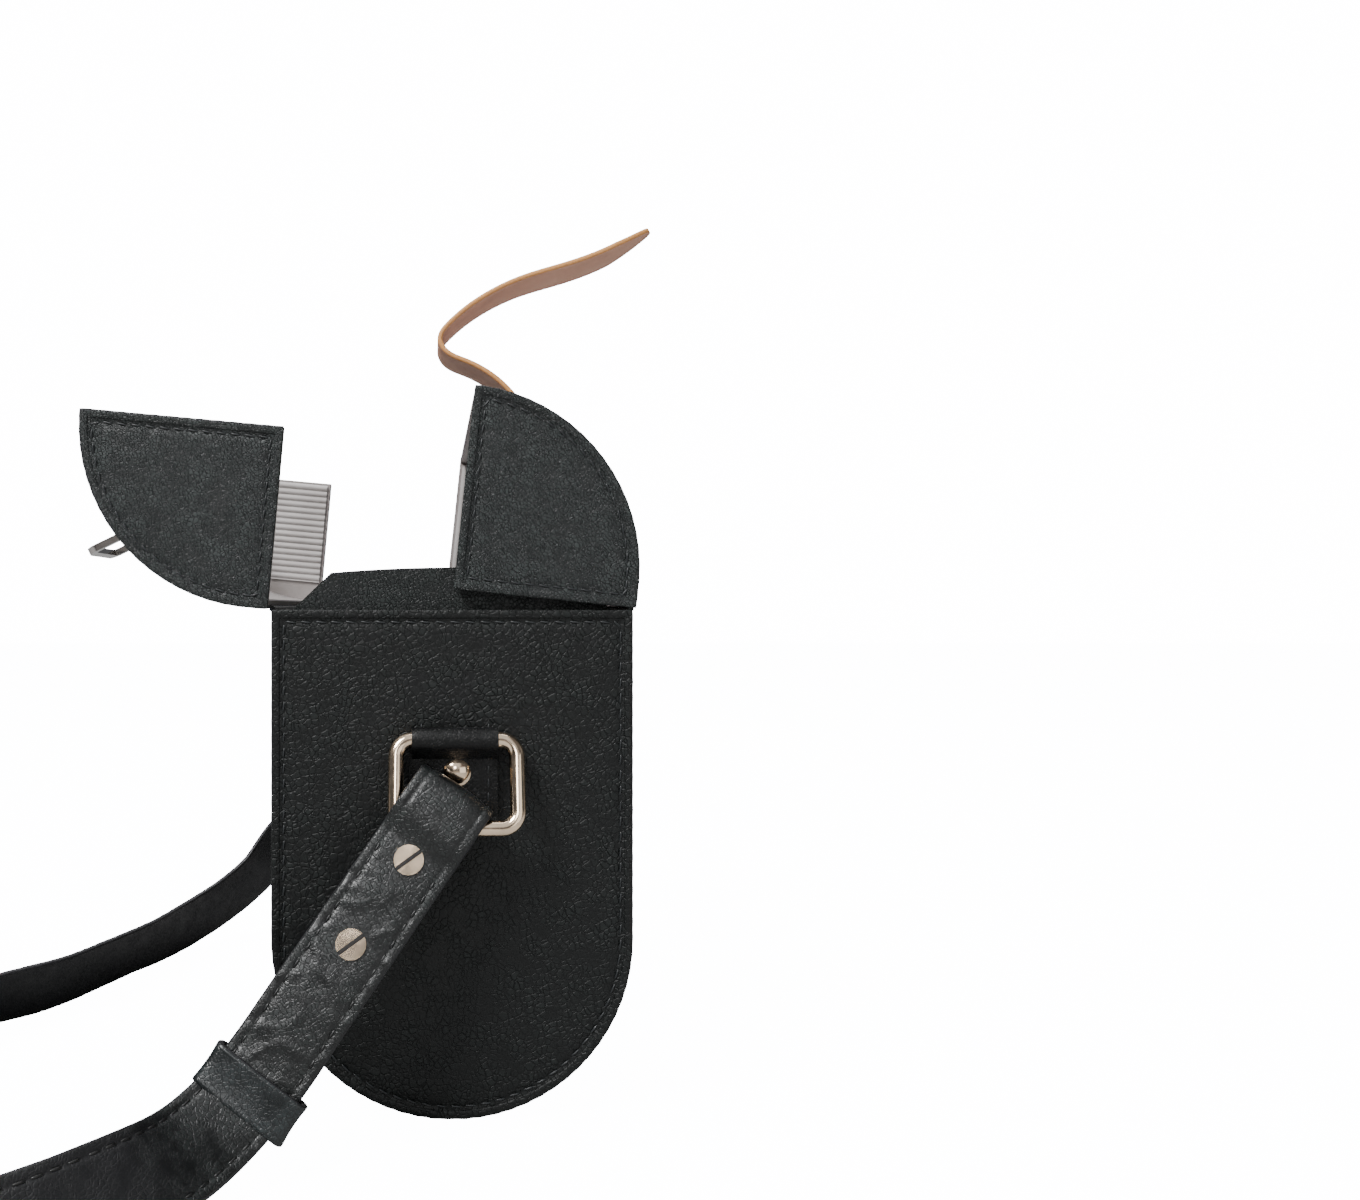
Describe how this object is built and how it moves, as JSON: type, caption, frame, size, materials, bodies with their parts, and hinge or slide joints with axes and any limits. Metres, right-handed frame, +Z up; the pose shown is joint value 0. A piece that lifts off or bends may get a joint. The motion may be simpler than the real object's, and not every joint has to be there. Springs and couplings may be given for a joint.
{
  "type": "structured box handbag",
  "caption": "Hard-walled leather handbag with a capsule-shaped end profile, twin quarter-round hinged lids, a closing tab with a metal loop and a ring-mounted shoulder strap.",
  "frame": {"origin": "lowest line of the rounded bottom, midway between the end panels", "axes": "+Z up, +Y from the near end panel to the far one, +X from the front wall to the back wall"},
  "size_m": [0.2699, 0.2859, 0.2881],
  "materials": {
    "body_leather": "pebbled black calf leather, satin",
    "lid_leather": "fine-grained black calf leather, satin",
    "collar_leather": "smooth-grained black leather",
    "strap_leather": "waxed black bridle leather with creases",
    "tab_leather": "natural tan leather with cut edges",
    "board": "stiff grey bag board",
    "lining": "light grey satin lining",
    "rib_lining": "ribbed light grey satin",
    "edge_paint": "painted black leather edge",
    "pale_gold": "polished pale gold plating",
    "polished_steel": "polished nickel plating",
    "washer_metal": "plain nickel washer"
  },
  "bodies": {
    "body": {"body_wall_leather": "body_leather", "body_wall_board": "board", "body_wall_lining": "lining", "near_end_leather": "body_leather", "near_end_board": "board", "near_end_lining": "lining", "far_end_leather": "body_leather", "far_end_board": "board", "far_end_lining": "lining", "near_edge_binding": "edge_paint", "far_edge_binding": "edge_paint", "near_collar": "collar_leather", "far_collar": "collar_leather", "front_hinge_strip": "edge_paint", "back_hinge_strip": "edge_paint", "near_ring_tab": "strap_leather", "far_ring_tab": "strap_leather", "ring_tab_rivets": "pale_gold", "rivet_washers": "washer_metal", "strap_middle": "strap_leather", "strap_tail": "strap_leather"},
    "front_lid": {"front_lid_wall_leather": "lid_leather", "front_lid_board": "board", "front_lid_lining": "lining", "front_lid_near_leather": "lid_leather", "front_lid_near_board": "board", "front_lid_near_lining": "lining", "front_lid_far_leather": "lid_leather", "front_lid_far_board": "board", "front_lid_far_lining": "lining", "front_lid_bindings": "edge_paint", "front_lid_rib_panels": "rib_lining", "closing_loop": "polished_steel", "loop_plate": "polished_steel", "loop_rivets": "polished_steel"},
    "back_lid": {"back_lid_wall_leather": "lid_leather", "back_lid_board": "board", "back_lid_lining": "lining", "back_lid_near_leather": "lid_leather", "back_lid_near_board": "board", "back_lid_near_lining": "lining", "back_lid_far_leather": "lid_leather", "back_lid_far_board": "board", "back_lid_far_lining": "lining", "back_lid_bindings": "edge_paint", "back_lid_rib_panels": "rib_lining", "tab_root": "tab_leather"},
    "tab": {"closing_tab": "tab_leather"},
    "near_ring": {"near_ring": "pale_gold", "near_strap_end": "strap_leather", "near_strap_screws": "pale_gold", "near_strap_posts": "pale_gold"},
    "keeper": {"strap_keeper": "strap_leather"},
    "far_ring": {"far_ring": "pale_gold", "far_strap_end": "strap_leather", "far_strap_screws": "pale_gold", "far_strap_posts": "pale_gold"}
  },
  "joints": [
    {"name": "front_lid_hinge", "type": "hinge", "parent": "body", "child": "front_lid", "pos_m": [-0.054, 0, 0.14985], "axis": [0, -1, 0], "range_deg": [-84.8, 80]},
    {"name": "back_lid_hinge", "type": "hinge", "parent": "body", "child": "back_lid", "pos_m": [0.054, 0, 0.14985], "axis": [0, 1, 0], "range_deg": [-6, 159]},
    {"name": "tab_flex", "type": "hinge", "parent": "back_lid", "child": "tab", "pos_m": [0.04505, 0, 0.19534], "axis": [0, 1, 0], "range_deg": [0, 25]},
    {"name": "near_ring_pivot", "type": "hinge", "parent": "body", "child": "near_ring", "pos_m": [0, -0.0821, 0.1118], "axis": [-1, 0, 0], "range_deg": [0, 30]},
    {"name": "far_ring_pivot", "type": "hinge", "parent": "body", "child": "far_ring", "pos_m": [0, 0.0821, 0.1118], "axis": [1, 0, 0], "range_deg": [0, 30]},
    {"name": "keeper_slide", "type": "slide", "parent": "near_ring", "child": "keeper", "axis": [0.5707, 0.2537, 0.781], "range_m": [0, 0.034]}
  ]
}
